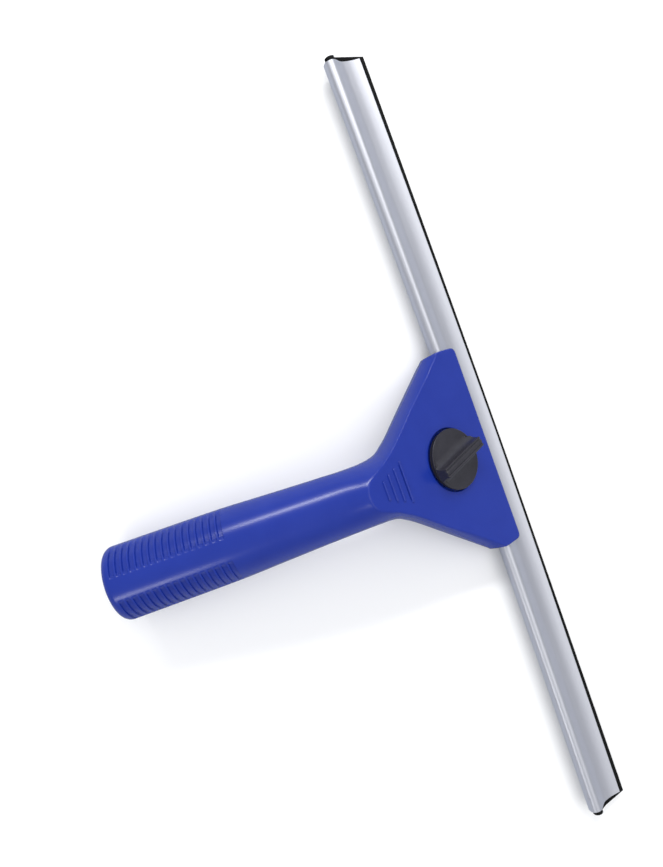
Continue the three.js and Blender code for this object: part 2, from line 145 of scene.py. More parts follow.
def loft(rings):
    """Solid skinned through rings of equal count, with capped ends."""
    bm = bmesh.new()
    rows = [[bm.verts.new(p) for p in ring] for ring in rings]
    count = len(rows[0])
    for a, b in zip(rows, rows[1:]):
        for i in range(count):
            j = (i + 1) % count
            bm.faces.new((a[i], a[j], b[j], b[i]))
    bm.faces.new(rows[0][::-1])
    bm.faces.new(rows[-1])
    bmesh.ops.recalc_face_normals(bm, faces=bm.faces)
    return bm


def turned(profile, matrix, segments):
    """Solid of revolution about local z: a profile of (r, z), closed on itself or through the axis."""
    bm = bmesh.new()
    columns = []
    for i in range(segments):
        a = 2 * math.pi * i / segments
        columns.append([(r * math.cos(a), r * math.sin(a), z) for r, z in profile])
    rows = [[bm.verts.new(p) for p in col] for col in columns]
    for i in range(segments):
        a, b = rows[i], rows[(i + 1) % segments]
        for k in range(len(profile)):
            m = (k + 1) % len(profile)
            bm.faces.new((a[k], a[m], b[m], b[k]))
    bmesh.ops.remove_doubles(bm, verts=bm.verts, dist=1e-6)
    bmesh.ops.dissolve_degenerate(bm, edges=bm.edges, dist=1e-6)
    bmesh.ops.recalc_face_normals(bm, faces=bm.faces)
    bm.transform(matrix)
    return bm


def rod(r, z0, z1, matrix, segments=64):
    return turned([(0, z0), (r, z0), (r, z1), (0, z1)], matrix, segments)


def extruded(outline, x0, x1):
    """A (y, z) outline carried along x."""
    return loft([[(x, y, z) for y, z in outline] for x in (x0, x1)])


def catmull(points, per):
    """Points of a centripetal Catmull-Rom spline through the given ones, so many to each span."""
    out = []
    ends = [tuple(2 * a - b for a, b in zip(points[0], points[1])), *points,
            tuple(2 * a - b for a, b in zip(points[-1], points[-2]))]
    for p0, p1, p2, p3 in zip(ends, ends[1:], ends[2:], ends[3:]):
        knots = [0.0]
        for a, b in ((p0, p1), (p1, p2), (p2, p3)):
            knots.append(knots[-1] + math.dist(a, b) ** 0.5)
        for k in range(per):
            t = lerp(knots[1], knots[2], k / per)

            def mix(a, b, ta, tb):
                return tuple(((tb - t) * u + (t - ta) * v) / (tb - ta) for u, v in zip(a, b))
            a1, a2, a3 = (mix(p0, p1, knots[0], knots[1]), mix(p1, p2, knots[1], knots[2]),
                          mix(p2, p3, knots[2], knots[3]))
            b1, b2 = mix(a1, a2, knots[0], knots[2]), mix(a2, a3, knots[1], knots[3])
            out.append(mix(b1, b2, knots[1], knots[2]))
    return out + [points[-1]]


def arc(cx, cy, r, a0, a1, n):
    """Points of an arc between two angles in degrees, in n steps."""
    steps = [math.radians(lerp(a0, a1, i / n)) for i in range(n + 1)]
    return [(cx + r * math.cos(a), cy + r * math.sin(a)) for a in steps]


def link(name, bm):
    """New object in the scene from a bmesh, which is freed."""
    mesh = bpy.data.meshes.new(name)
    bm.to_mesh(mesh)
    bm.free()
    obj = bpy.data.objects.new(name, mesh)
    bpy.context.scene.collection.objects.link(obj)
    return obj


def combine(bm, cuts=(), joins=()):
    """bm with solids joined on and then cut away."""
    obj = link("work", bm)
    tools = []
    for operation, solids in (("UNION", joins), ("DIFFERENCE", cuts)):
        for solid in solids:
            tool = link("tool", solid)
            tools.append(tool)
            mod = obj.modifiers.new("cut", "BOOLEAN")
            mod.operation = operation
            mod.solver = "EXACT"
            mod.object = tool
    depsgraph = bpy.context.evaluated_depsgraph_get()
    mesh = bpy.data.meshes.new_from_object(obj.evaluated_get(depsgraph))
    out = bmesh.new()
    out.from_mesh(mesh)
    for o in (obj, *tools):
        old = o.data
        bpy.data.objects.remove(o)
        bpy.data.meshes.remove(old)
    bpy.data.meshes.remove(mesh)
    return out


def piece(name, bm, body, replaced, material, sharp=38):
    """A finished piece: moved to the part's frame, shaded smooth up to the given edge angle."""
    bmesh.ops.remove_doubles(bm, verts=bm.verts, dist=1e-4)
    bmesh.ops.dissolve_degenerate(bm, edges=bm.edges, dist=1e-5)
    bm.transform(TO_PART)
    for face in bm.faces:
        face.smooth = True
    limit = math.radians(sharp)
    for edge in bm.edges:
        edge.smooth = len(edge.link_faces) == 2 and edge.calc_face_angle(0) < limit
    obj = link(name, bm)
    obj.data.materials.append(material)
    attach(obj, body)
    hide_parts(replaced)
    return obj


# ---------------------------------------------------------------- materials
class Surface:
    """Small builder for a node material on one Principled shader."""

    def __init__(self, name, roughness, metallic=0.0, **sockets):
        self.material = bpy.data.materials.new(name)
        self.material.use_nodes = True
        self.tree = self.material.node_tree
        self.shader = self.tree.nodes["Principled BSDF"]
        self.shader.inputs["Roughness"].default_value = roughness
        self.shader.inputs["Metallic"].default_value = metallic
        for key, value in sockets.items():
            self.shader.inputs[key.replace("_", " ")].default_value = value
        self.coords = self.tree.nodes.new("ShaderNodeTexCoord").outputs["Object"]
        self.height = None

    def noise(self, scale, detail=3.0, stretch=(1, 1, 1), distortion=0.0, rough=0.55):
        mapping = self.tree.nodes.new("ShaderNodeMapping")
        mapping.inputs["Scale"].default_value = stretch
        self.tree.links.new(self.coords, mapping.inputs["Vector"])
        tex = self.tree.nodes.new("ShaderNodeTexNoise")
        tex.inputs["Scale"].default_value = scale
        tex.inputs["Detail"].default_value = detail
        tex.inputs["Roughness"].default_value = rough
        tex.inputs["Distortion"].default_value = distortion
        self.tree.links.new(mapping.outputs["Vector"], tex.inputs["Vector"])
        return tex.outputs["Fac"]

    def ramp(self, fac, stops):
        """Colours or grey levels placed along a 0..1 factor."""
        node = self.tree.nodes.new("ShaderNodeValToRGB")
        while len(node.color_ramp.elements) < len(stops):
            node.color_ramp.elements.new(0.5)
        for element, (place, colour) in zip(node.color_ramp.elements, stops):
            rgb = colour if isinstance(colour, tuple) else (colour,) * 3
            element.position = place
            element.color = (*rgb, 1)
        self.tree.links.new(fac, node.inputs["Fac"])
        return node.outputs["Color"]

    def to(self, socket, value):
        self.tree.links.new(value, self.shader.inputs[socket])

    def bump(self, height, distance, strength=1.0):
        """Adds a layer of relief of the given depth in metres."""
        node = self.tree.nodes.new("ShaderNodeBump")
        node.inputs["Strength"].default_value = strength
        node.inputs["Distance"].default_value = distance
        self.tree.links.new(height, node.inputs["Height"])
        if self.height:
            self.tree.links.new(self.height, node.inputs["Normal"])
        self.height = node.outputs["Normal"]
        self.to("Normal", self.height)


def blue_plastic(name="blue_plastic", roughness=0.24):
    s = Surface(name, roughness, Specular_IOR_Level=0.5)
    clouds = s.noise(60, 4, distortion=0.6)
    s.to("Base Color", s.ramp(clouds, [(0.3, (0.0075, 0.0255, 0.258)), (0.72, (0.0095, 0.0295, 0.280))]))
    s.to("Roughness", s.ramp(s.noise(130, 2), [(0.2, roughness - 0.015), (0.8, roughness + 0.02)]))
    s.bump(s.noise(90, 2), 0.00006, 0.5)           # slow waviness of the moulding
    s.bump(s.noise(2600, 3), 0.000012, 0.5)        # fine spark-eroded grain
    return s.material


def charcoal_plastic():
    s = Surface("charcoal_plastic", 0.42, Specular_IOR_Level=0.5)
    clouds = s.noise(240, 5)
    s.to("Base Color", s.ramp(clouds, [(0.3, (0.022, 0.021, 0.028)), (0.75, (0.029, 0.028, 0.037))]))
    s.to("Roughness", s.ramp(s.noise(400, 2), [(0.3, 0.33), (0.7, 0.38)]))
    s.bump(s.noise(1800, 4), 0.00002, 0.7)
    return s.material


def satin_aluminium():
    s = Surface("satin_aluminium", 0.44, 1.0)
    lines = s.noise(90, 5, stretch=(0.25, 26, 26), rough=0.7)
    bands = s.noise(40, 3, stretch=(0.3, 4, 4))
    s.to("Base Color", s.ramp(bands, [(0.3, (0.77, 0.78, 0.83)), (0.7, (0.82, 0.83, 0.88))]))
    s.to("Roughness", s.ramp(lines, [(0.3, 0.42), (0.7, 0.50)]))
    s.bump(lines, 0.00001, 0.5)                    # drawing lines along the extrusion
    s.bump(s.noise(5200, 2), 0.000004, 0.5)        # etched, anodised grain
    return s.material


def black_rubber():
    s = Surface("black_rubber", 0.6, Specular_IOR_Level=0.14)
    s.to("Base Color", s.ramp(s.noise(300, 4), [(0.3, (0.003, 0.003, 0.003)), (0.7, (0.006, 0.006, 0.006))]))
    s.to("Roughness", s.ramp(s.noise(900, 4), [(0.3, 0.48), (0.7, 0.64)]))
    s.bump(s.noise(2200, 3), 0.00001, 0.6)
    return s.material


def zinc_steel():
    s = Surface("zinc_steel", 0.3, 1.0)
    patches = s.noise(700, 5, distortion=0.4)
    s.to("Base Color", s.ramp(patches, [(0.3, (0.58, 0.59, 0.62)), (0.7, (0.70, 0.70, 0.71))]))
    s.to("Roughness", s.ramp(patches, [(0.3, 0.24), (0.7, 0.42)]))
    s.bump(s.noise(3000, 3), 0.00001, 0.5)
    return s.material


def spring_steel():
    s = Surface("spring_steel", 0.38, 1.0)
    s.to("Base Color", s.ramp(s.noise(900, 5), [(0.3, (0.20, 0.205, 0.22)), (0.7, (0.33, 0.33, 0.35))]))
    s.bump(s.noise(2500, 3), 0.00001, 0.5)
    return s.material


# ---------------------------------------------------------------- handle: one moulding of grip, neck and head
COLUMNS = (16, 20, 24)              # points on the top, the side and the underside of half a section
TOP_ANGLE = 35.0                    # degrees of a round section that the top's columns cover
TOP_ARC, NECK_HALF = 7.4, 12.8      # about the same as a length, on a neck of this half width
# degrees from the top, and from the underside, over which a groove deepens and fades
GROOVE_IN, GROOVE_OUT = (17.5, 23.5), (62, 80)
GRIP_SKIN_END = 94                  # up the handle: the round sections end here, and the neck begins

grip_body = table([(0, 15.6), (19, 15.4), (49, 15.0), (69, 14.15), (89, 13.3), (101, 12.9)])
APEX_ROUND = 0.4                    # rounding where the neck's top meets the panel
NECK_FRONT = -54.9                  # y up to which the neck is an oval bar that the panel cuts
FLAT_GROWS = (-71, -66)             # the flat that the panel cuts widens from nothing over these y
SIDES_STEEPEN = (-64, -50)          # the round bar's sides become the head's steep faces
SOFT_FROM, SOFT_TO = -66, -56       # over these y the creases sharpen
SOFT_NECK, SOFT_HEAD = 1.1, 0.45    # how far along the section a crease is spread
SIDE_LEAN = 0.4                     # least distance from the panel's edge out to the widest line

# half width of the head at its widest line, by y
head_half = table([(-72, 12.85), (-66, 12.8), (-62, 13.0), (-59, 13.4), (-56.3, 14.2), (-53.6, 15.9),
                   (-51, 17.7), (-48, 20.1), (-46, 21.83), (-21.8, 42.75), (-20.3, 44.05), (-17.5, 44.6),
                   (-13.65, 45.1), (-9, 45.0), (-6.4, 44.8), (-5.3, 44.2), (-4.79, 43.0)])
# height of that widest line
head_wide = table([(-72, 30.4), (-66, 30.2), (-60, 28.4), (-54, 25.4), (-45, 21.4), (-35, 17.0),
                   (-27, 13.5), (-20.3, 10.5), (-17.5, 11.6), (-13.65, 12.4), (-9, 9.6), (-4.79, 7.2)])
# half width of the panel
flat_half = table([(NECK_FRONT, 10.9), (-51.5, 13.1), (-43, 20.0), (-35.8, 26.3), (-28.6, 31.9),
                   (-22.5, 36.8), (-17.5, 41.2), (-13.5, 44.5), (-9, 44.4), (-6.4, 44.2), (-5.3, 43.5),
                   (-4.79, 42.4)])
# height of the neck's bar over its widest line, before the panel cuts it
bar_height = table([(-72, 13.45), (-69, 14.25), (-66, 15.15), (-63, 15.95), (-60, 16.75), (-57, 17.5),
                    (NECK_FRONT, 18.2)])
# height of the underside
head_bottom = table([(-72, 17.45), (-66, 18.2), (-60, 18.0), (-54, 15.8), (-48, 12.8), (-40, 9.2),
                     (-30, 5.2), (-22, 2.6), (-18, 2.0), (-4.79, 2.0)])
# exponent of the underside's section: 2 is round, more is boxier
squareness = table([(-66, 2), (-50, 3.2), (-36, 6), (-24, 9), (-4.79, 9)])


def panel_z(y):
    """Height of the sloping panel's plane."""
    return PANEL_EDGE[1] + (PANEL_EDGE[0] - y) * math.tan(SLOPE)


def mirrored(half):
    """Full ring from a half section that runs from the top centre to the bottom centre."""
    return half + [Vector((-p.x, p.y, p.z)) for p in half[-2:0:-1]]


def round_angles():
    """Degrees from the top of a round section's columns."""
    top, side, under = COLUMNS
    return ([TOP_ANGLE * i / top for i in range(top)]
            + [lerp(TOP_ANGLE, 90, i / side) for i in range(side)]
            + [lerp(90, 180, i / under) for i in range(under + 1)])


def grip_ring(s, groove=0.0):
    """Round section s mm up the handle, with its share of the groove's depth."""
    r = grip_body(s) - END_INSET * (1 - math.sqrt(1 - max(0, 1 - s / END_ROUND) ** 2))
    half = []
    for degrees in round_angles():
        a = math.radians(degrees)
        side = min(degrees, 180 - degrees)
        band = smooth(*GROOVE_IN, side) * (1 - smooth(*GROOVE_OUT, side))
        rr = r - groove * GROOVE_DEPTH * band
        half.append(GRIP_END + s * AXIS + rr * math.sin(a) * SIDE + rr * math.cos(a) * AXIS_UP)
    return mirrored(half)


def along(points, lengths, place):
    """Point at an arc length of a polyline in (x, z), mirrored beyond either end."""
    total = lengths[-1]
    flip = place < 0 or place > total
    place = -place if place < 0 else 2 * total - place if place > total else place
    lo, hi = 0, len(lengths) - 1
    while hi - lo > 1:
        mid = (lo + hi) // 2
        if lengths[mid] <= place:
            lo = mid
        else:
            hi = mid
    t = (place - lengths[lo]) / max(1e-9, lengths[hi] - lengths[lo])
    x, z = (lerp(a, b, t) for a, b in zip(points[lo], points[hi]))
    return (-x if flip else x), z


def sharp_section(y, inset):
    """Half section of the head at y in (x, z), from the top centre to the bottom centre, with sharp creases.

    Comes with the half widths of its flat top and of its widest point, and with that point's index.
    """
    side_in, top_in = (inset["side"], inset["top"]) if inset else (0, 0)
    wide = head_half(y) - side_in
    if y < NECK_FRONT:
        over = head_wide(y) + bar_height(y) - panel_z(y)        # what stands over the panel's plane
        top = panel_z(y) + 0.5 * (over - math.sqrt(over * over + APEX_ROUND ** 2))
        flat = wide * math.sqrt(max(0.0, 1 - ((top - head_wide(y)) / bar_height(y)) ** 2))
        flat *= smooth(*FLAT_GROWS, y)
    else:
        top = panel_z(y) - top_in
        flat = max(0.0, min(flat_half(y), head_half(y) - SIDE_LEAN) - 0.8 * side_in)
    nose = 1 - (y - (PANEL_EDGE[0] - FRONT_ROUND)) / FRONT_ROUND
    if not inset and nose < 1:
        top -= FRONT_ROUND * (1 - math.sqrt(max(0, 1 - (1 - nose) ** 2)))
    waist = min(head_wide(y) - 0.5 * top_in, top - 0.5)
    bottom = inset["floor"] if inset else head_bottom(y)
    tops, sides, unders = 40, 60, 80
    points = [(flat * i / tops, top) for i in range(tops)] if flat > 0.05 else []
    # the side starts as the neck's round bar, cut by the flat top, and turns into a steep face
    steep, cut = smooth(*SIDES_STEEPEN, y), math.asin(flat / wide)
    for i in range(sides):
        u = math.radians(90 * i / sides)
        bar = lerp(cut, math.pi / 2, i / sides)
        x = lerp(wide * math.sin(bar), flat + (wide - flat) * math.sin(u) ** 1.5, steep)
        up = lerp(math.cos(bar) / math.cos(cut), math.cos(u) ** 1.5, steep)
        points.append((x, waist + (top - waist) * up))
    at_waist = len(points)
    n = squareness(y)
    for i in range(unders + 1):
        v = math.radians(90 * i / unders)
        c = max(0.0, math.cos(v)) if i < unders else 0.0
        points.append((wide * c ** (2 / n), waist - (waist - bottom) * math.sin(v) ** (2 / n)))
    return points, flat, wide, at_waist


def column_places(flat, wide, to_waist, to_bottom):
    """Arc lengths of the columns: they follow the crease, and gather at it as the panel widens."""
    crease = max(flat, TOP_ARC * wide / NECK_HALF)
    crease = min(crease, to_waist * 0.6) if flat < TOP_ARC else crease
    tops, sides, unders = COLUMNS
    tight = lerp(1, 2, smooth(10, 30, crease))
    down = lerp(1, 1.6, smooth(6, 14, flat))
    places = [crease * (1 - (1 - i / tops) ** tight) for i in range(tops)]
    places += [lerp(crease, to_waist, (i / sides) ** down) for i in range(sides)]
    places += [lerp(to_waist, to_bottom, i / unders) for i in range(unders + 1)]
    return places


def head_ring(y, inset=None):
    """Section of the head at y: flat top, side running down and out, rounded box underneath.

    An inset gives the hollow inside it: how far in from side and top it lies, and the height of its floor.
    """
    sharp, flat, wide, at_waist = sharp_section(y, inset)
    lengths = [0.0]
    for a, b in zip(sharp, sharp[1:]):
        lengths.append(lengths[-1] + math.dist(a, b))
    soften = lerp(SOFT_NECK, SOFT_HEAD, smooth(SOFT_FROM, SOFT_TO, y))
    weights = (1, 2, 3, 4, 3, 2, 1)
    half = []
    for place in column_places(flat, wide, lengths[at_waist], lengths[-1]):
        spread = [along(sharp, lengths, place + soften * k / 3) for k in range(-3, 4)]
        x = sum(w * p[0] for w, p in zip(weights, spread)) / sum(weights)
        z = sum(w * p[1] for w, p in zip(weights, spread)) / sum(weights)
        half.append(Vector((x, y, z)))
    half[0].x = half[-1].x = 0.0
    return mirrored(half)


def hermite_rings(a0, a1, b0, b1, count):
    """Rings between a1 and b0 that leave and arrive in the directions a0->a1 and b0->b1."""
    rings = []
    for k in range(1, count + 1):
        t = k / (count + 1)
        h = (2 * t ** 3 - 3 * t * t + 1, t ** 3 - 2 * t * t + t, 3 * t * t - 2 * t ** 3, t ** 3 - t * t)
        ring = []
        for p, q, r, s in zip(a0, a1, b0, b1):
            span = (r - q).length
            leave, arrive = (q - p).normalized() * span, (s - r).normalized() * span
            ring.append(h[0] * q + h[1] * leave + h[2] * r + h[3] * arrive)
        rings.append(ring)
    return rings


def handle_skin():
    """Outer skin of the moulding, from the grip's end to the panel's front edge."""
    rings = [grip_ring(s) for s in (0, 0.12, 0.45, 0.95, 1.55, 2.2, 2.75, END_ROUND)]
    floor_half, wall = 0.72, 0.36       # a groove's floor and its sloping walls, along the handle
    for k in range(GROOVE_COUNT):
        centre = GROOVE_FIRST + k * GROOVE_PITCH
        rings.append(grip_ring(centre - GROOVE_PITCH / 2))
        steps = [i / 5 for i in range(6)]
        for t in steps:
            rings.append(grip_ring(centre - floor_half - wall * (1 - t), smooth(0, 1, t)))
        for t in reversed(steps):
            rings.append(grip_ring(centre + floor_half + wall * (1 - t), smooth(0, 1, t)))
    last = GROOVE_FIRST + (GROOVE_COUNT - 0.5) * GROOVE_PITCH
    rings += [grip_ring(last + (GRIP_SKIN_END - last) * i / 12) for i in range(13)]
    stations = [-72, -71.2, -70.4, -69.6, -68.9, -68.2, -67.6, -67.1, -66.7, -66.35, -66.1, -65.9, -65.7,
                -65.4, -65.0]
    stations += [-64.4 + 0.7 * i for i in range(28)]
    stations += [-45 + 1.25 * i for i in range(19)]
    stations += [-21.6, -20.9, -20.4, -19.9, -19.2, -18.2, -17.2, -16, -14.8, -13.7, -12.6, -11.4, -10,
                 -8.6, -7.4, -6.6, -6.0, -5.6, -5.3, -5.08, -4.93, -4.84, -4.79]
    head = [head_ring(y) for y in stations]
    bridge = hermite_rings(rings[-2], rings[-1], head[0], head[1], 5)
    return loft(rings + bridge + head)


# outline of the channel in (y, z): over its top from the front lip to the back, and back under it
CHANNEL_BACK = -16.26
CHANNEL_TOP = [(1, 4.2), (-1.4, 4.42), (-3.95, 4.93), (-6.0, 5.62), (-7.62, 6.35), (-9.1, 7.7),
               (-10.66, 9.7), (-12.0, 10.95), (-13.49, 11.25), (-15.0, 10.75), (-16.0, 9.3),
               (CHANNEL_BACK, 7.5)]
CHANNEL_UNDER = [(-15.7, 5.7), (-14.2, 4.55), (-12.1, 4.1), (-10.3, 2.75), (-8.6, 1.62), (-7.0, 1.3),
                 (-3.0, 0.62), (1, 0.02)]
SEAT_SHIFTS = (-0.15, 0.15, 0.45, 0.75)     # forward shifts of the bent channel, centred or slid, in the seat
SEAT_FRONT, SEAT_FLOOR = 6, -4              # the seat's cut runs out of the head as far as this


def seat_outline():
    """What the head leaves free over the bent channel, open below and towards the blade."""
    top = catmull(CHANNEL_TOP, 6)
    moved = []
    for shift in SEAT_SHIFTS:
        for i, (y, z) in enumerate(top):
            a, b = top[max(0, i - 1)], top[min(len(top) - 1, i + 1)]
            length = math.dist(a, b)
            moved.append((y + shift + GAP * (b[1] - a[1]) / length, z - GAP * (b[0] - a[0]) / length))
    roof = []
    steps, near = 44, 0.25              # the roof clears the moved points that are this near to it
    front, back = 0.5, CHANNEL_BACK - GAP + SEAT_SHIFTS[0]
    for i in range(steps + 1):
        y = lerp(front, back, i / steps)
        roof.append((y, max(place[1] for place in moved if abs(place[0] - y) < near)))
    return [(SEAT_FRONT, roof[0][1]), *roof, (back, SEAT_FLOOR), (SEAT_FRONT, SEAT_FLOOR)]


THUMB_RIBS = ((63.3, 4.1), (59.8, 5.8), (56.2, 7.1), (52.3, 8.8))      # of each: up the slope, half length


def pocket_rib(offset):
    """Stiffening rib in the pocket under the panel, beside the boss."""
    half = 0.9
    outline = [(-47, 34), (-47, 18), (-33, 12.5), (-21, 12.5), (-19, 15), (-19, 34)]
    return extruded(outline, offset - half, offset + half)


def thumb_rib(up, half):
    """A raised rib across the panel, so far up its slope: half-round, with rounded ends."""
    width, height, sunk, ends = 0.62, 0.62, 0.6, 0.6
    rings = []
    places = [-half + ends * (1 - math.cos(math.radians(a))) for a in range(10, 91, 16)]
    places += [-p for p in reversed(places)]
    for x in places:
        k = math.sqrt(max(0.0, 1 - (max(0, abs(x) - (half - ends)) / ends) ** 2))
        section = [(width * k * math.cos(math.radians(a)), height * k * math.sin(math.radians(a)))
                   for a in range(0, 181, 15)]
        section = [(width * k, -sunk), *section, (-width * k, -sunk)]
        rings.append([Vector((x, v, w)) for v, w in section])
    bm = loft(rings)
    bm.transform(basis(SIDE, -UP_SLOPE, NORMAL, Vector((0, *PANEL_EDGE)) + up * UP_SLOPE))
    return bm


def pocket_solid():
    """The hollow under the panel, around the boss of the screw and two ribs."""
    wall = {"side": 3.2, "top": 3.4, "floor": -4}
    widest = 33.5
    rings = []
    for y in (-49, -46, -42, -38, -33, -28, -24, -20.5, -16.0):
        ring = head_ring(y, wall)
        rings.append([Vector((max(-widest, min(widest, p.x)), p.y, p.z)) for p in ring])
    boss = rod(6.2, -8.4, -1, SCREW)
    return combine(loft(rings), cuts=[boss, pocket_rib(-17), pocket_rib(17)])


def recess_solid():
    """The round recess for the thumbscrew, with its rounded rim, and the stud's bore under it."""
    foot, rim, bore, below, above = 0.4, 0.45, STUD_R + GAP, -30, 12
    profile = [(0, below), (bore, below), (bore, -RECESS_DEPTH), (RECESS_R - foot, -RECESS_DEPTH)]
    profile += arc(RECESS_R - foot, -RECESS_DEPTH + foot, foot, -70, 0, 4)
    for degrees in range(0, 76, 15):
        a = math.radians(degrees)
        profile.append((RECESS_R + rim - rim * math.cos(a), -rim + rim * math.sin(a)))
    profile += [(RECESS_R + rim, 0.5), (RECESS_R + rim, above), (0, above)]
    return turned(profile, SCREW, 128)


def make_handle(material):
    past_head = 60
    seat = extruded(seat_outline(), -past_head, past_head)
    # tapered socket for a pole, and the cored hollow beyond it
    socket_r, socket_end_r, socket_end = 10.5, 9.7, 70
    core_r, core_end = 8.6, 101
    socket = turned([(0, -2), (socket_r + 1.4, -2), (socket_r + 0.4, 0.0), (socket_r + 0.12, 0.2),
                     (socket_r, 0.6), (socket_end_r, socket_end), (0, socket_end)], HANDLE, 96)
    core = turned([(0, socket_end - 1), (core_r, socket_end - 1), (core_r - 0.6, core_end),
                   (0, core_end + 3)], HANDLE, 48)
    ribs = [thumb_rib(up, half) for up, half in THUMB_RIBS]
    skin = handle_skin()
    # one cut at a time: together they leave a stray flange at the grip's end
    for cut in (socket, core, seat, pocket_solid(), recess_solid()):
        skin = combine(skin, cuts=[cut])
    skin = combine(skin, joins=ribs)
    return piece("handle_moulding", skin, "handle", "handle_body", material)


# ---------------------------------------------------------------- thumbscrew
def disc_solid():
    """Disc with a rounded rim, a wall that leans in below it, and a slightly sunk top."""
    edge, skirt, sunk = 0.26, 0.4, 0.16
    wall = KNOB_R - skirt
    profile = [(0, KNOB_BOTTOM), (wall - 0.5, KNOB_BOTTOM), (wall, KNOB_BOTTOM + 0.3), (wall, 1.1),
               (KNOB_R - 0.7 * skirt, 1.42)]
    profile += arc(KNOB_R - edge, 1.68, edge, -60, 0, 4)
    profile += arc(KNOB_R - edge, KNOB_TOP - edge, edge, 0, 90, 6)
    profile += [(KNOB_R - 0.6, KNOB_TOP - 0.05), (KNOB_R - 0.9, KNOB_TOP - sunk), (0, KNOB_TOP - sunk)]
    return turned(profile, SCREW, 128)


def wing_solid():
    """Wing across the disc: flared foot, narrow waist, and three ridges along its top."""
    # half section in (across, over the disc), from the foot to the middle ridge
    side = [(5.7, -0.5), (5.0, -0.14), (4.2, 0.2), (3.45, 0.7), (2.85, 1.4), (2.4, 2.3), (2.14, 3.3),
            (2.06, 4.2), (2.12, 4.9), (2.18, 5.2), (2.12, 5.42), (1.92, 5.57), (1.65, 5.6), (1.4, 5.46),
            (1.2, 5.22), (1.0, 5.18), (0.8, 5.3), (0.5, 5.55), (0.25, 5.64), (0.0, 5.65)]
    section = side + [(-x, z) for x, z in reversed(side[:-1])]
    belly, end_width, end_drop, lean = 0.07, 0.86, 0.25, 0.003
    rings = []
    end_round = 0.035                   # stations and roundings are shares of the wing's half length
    ends = [1 - end_round * (1 - math.sin(math.radians(a))) for a in (0, 20, 40, 60, 75, 90)]
    stations = [-e for e in reversed(ends)] + [-0.8, -0.65, -0.45, -0.2, 0, 0.2, 0.45, 0.65, 0.8] + ends
    for k in stations:
        beyond = max(0.0, (abs(k) - 1 + end_round) / end_round)
        tuck = math.sqrt(max(0.0, 1 - beyond * beyond))
        waist = 1 + belly * (1 - k * k)
        reach = math.sqrt(max(0.05, (KNOB_R - 0.25) ** 2 - (k * WING_HALF) ** 2))   # keeps the foot inside
        ring = []
        for x, z in section:
            narrow = lerp(end_width, 1.0, tuck) * waist if z > 0.5 else min(1.0, reach / max(abs(x), 0.01))
            height = z - (end_drop * (1 - tuck) if z > 3 else 0)
            ring.append(Vector((x * narrow, k * WING_HALF * (1 - lean * max(0, z)), KNOB_TOP + height)))
        rings.append(ring)
    wing = loft(rings)
    wing.transform(SCREW @ Matrix.Rotation(WING_ANGLE, 4, "Z"))
    return wing


def make_knob(material):
    stud_head = rod(5.5, KNOB_BOTTOM - 1, 1.0, SCREW, 6)        # seat of the stud's moulded-in head
    bm = combine(disc_solid(), joins=[wing_solid()], cuts=[stud_head])
    return piece("knob_moulding", bm, "screw", "thumbscrew_knob", material, 32)


# ---------------------------------------------------------------- channel and rubber
BEAD = (-12.75, 7.8)                # centre of the rubber's bead, in (y, z)
BORE_R, BEAD_R = 2.5, 2.2           # its bore in the channel, and the bead itself
SLOT_HALF, WEB_HALF = 1.2, 0.9      # half heights of the channel's slot and of the rubber's web in it
WEB_BEND = (-7.6, 3.67)             # where slot and web bend
SLOT_END, WEB_END = (1, 2.0), (2.65, 1.72)


def unit(a, b):
    """Direction from a to b."""
    length = math.dist(a, b)
    return (b[0] - a[0]) / length, (b[1] - a[1]) / length


def web_line(offset, end):
    """Line parallel to the web: from the lip, round its bend, towards the bead."""
    d0, d1 = unit(end, WEB_BEND), unit(WEB_BEND, BEAD)
    n0, n1 = (-d0[1] * offset, d0[0] * offset), (-d1[1] * offset, d1[0] * offset)
    k = 1 + d0[0] * d1[0] + d0[1] * d1[1]
    return [(end[0] + n0[0], end[1] + n0[1]),
            (WEB_BEND[0] + (n0[0] + n1[0]) / k, WEB_BEND[1] + (n0[1] + n1[1]) / k)]


def keyhole(half, bead_r, end):
    """Outline of a web joined to a round bead, from the upper lip round to the lower one."""
    over, under = web_line(-half, end), web_line(half, end)
    web = math.degrees(math.atan2(WEB_BEND[1] - BEAD[1], WEB_BEND[0] - BEAD[0]))
    mouth = math.degrees(math.asin(half / bead_r))
    return [over[0], over[1], *arc(*BEAD, bead_r, web + mouth, web + 360 - mouth, 36), under[1], under[0]]


def bend(x, amount, mean):
    """Forward shift of the clamped blade at x."""
    return amount * (1 - abs(x / HALF_CHANNEL) ** 1.4) - (amount - mean)


def channel_outline():
    """Outline in (y, z) from the front lip over the top, round and under, then the slot and its bore."""
    top, under = catmull(CHANNEL_TOP, 5), catmull(CHANNEL_UNDER, 4)
    back = catmull([*CHANNEL_TOP[-2:], *CHANNEL_UNDER[:2]], 5)[6:10]       # only what lies between the two
    front, height = CHANNEL_TOP[0]
    lip = [(front - 0.02, height - 0.16), (front - 0.06, height - 0.05), (top[0][0] - 0.12, top[0][1])]
    slot = keyhole(SLOT_HALF, BORE_R, SLOT_END)
    return lip + top[1:] + back + under + slot[::-1]


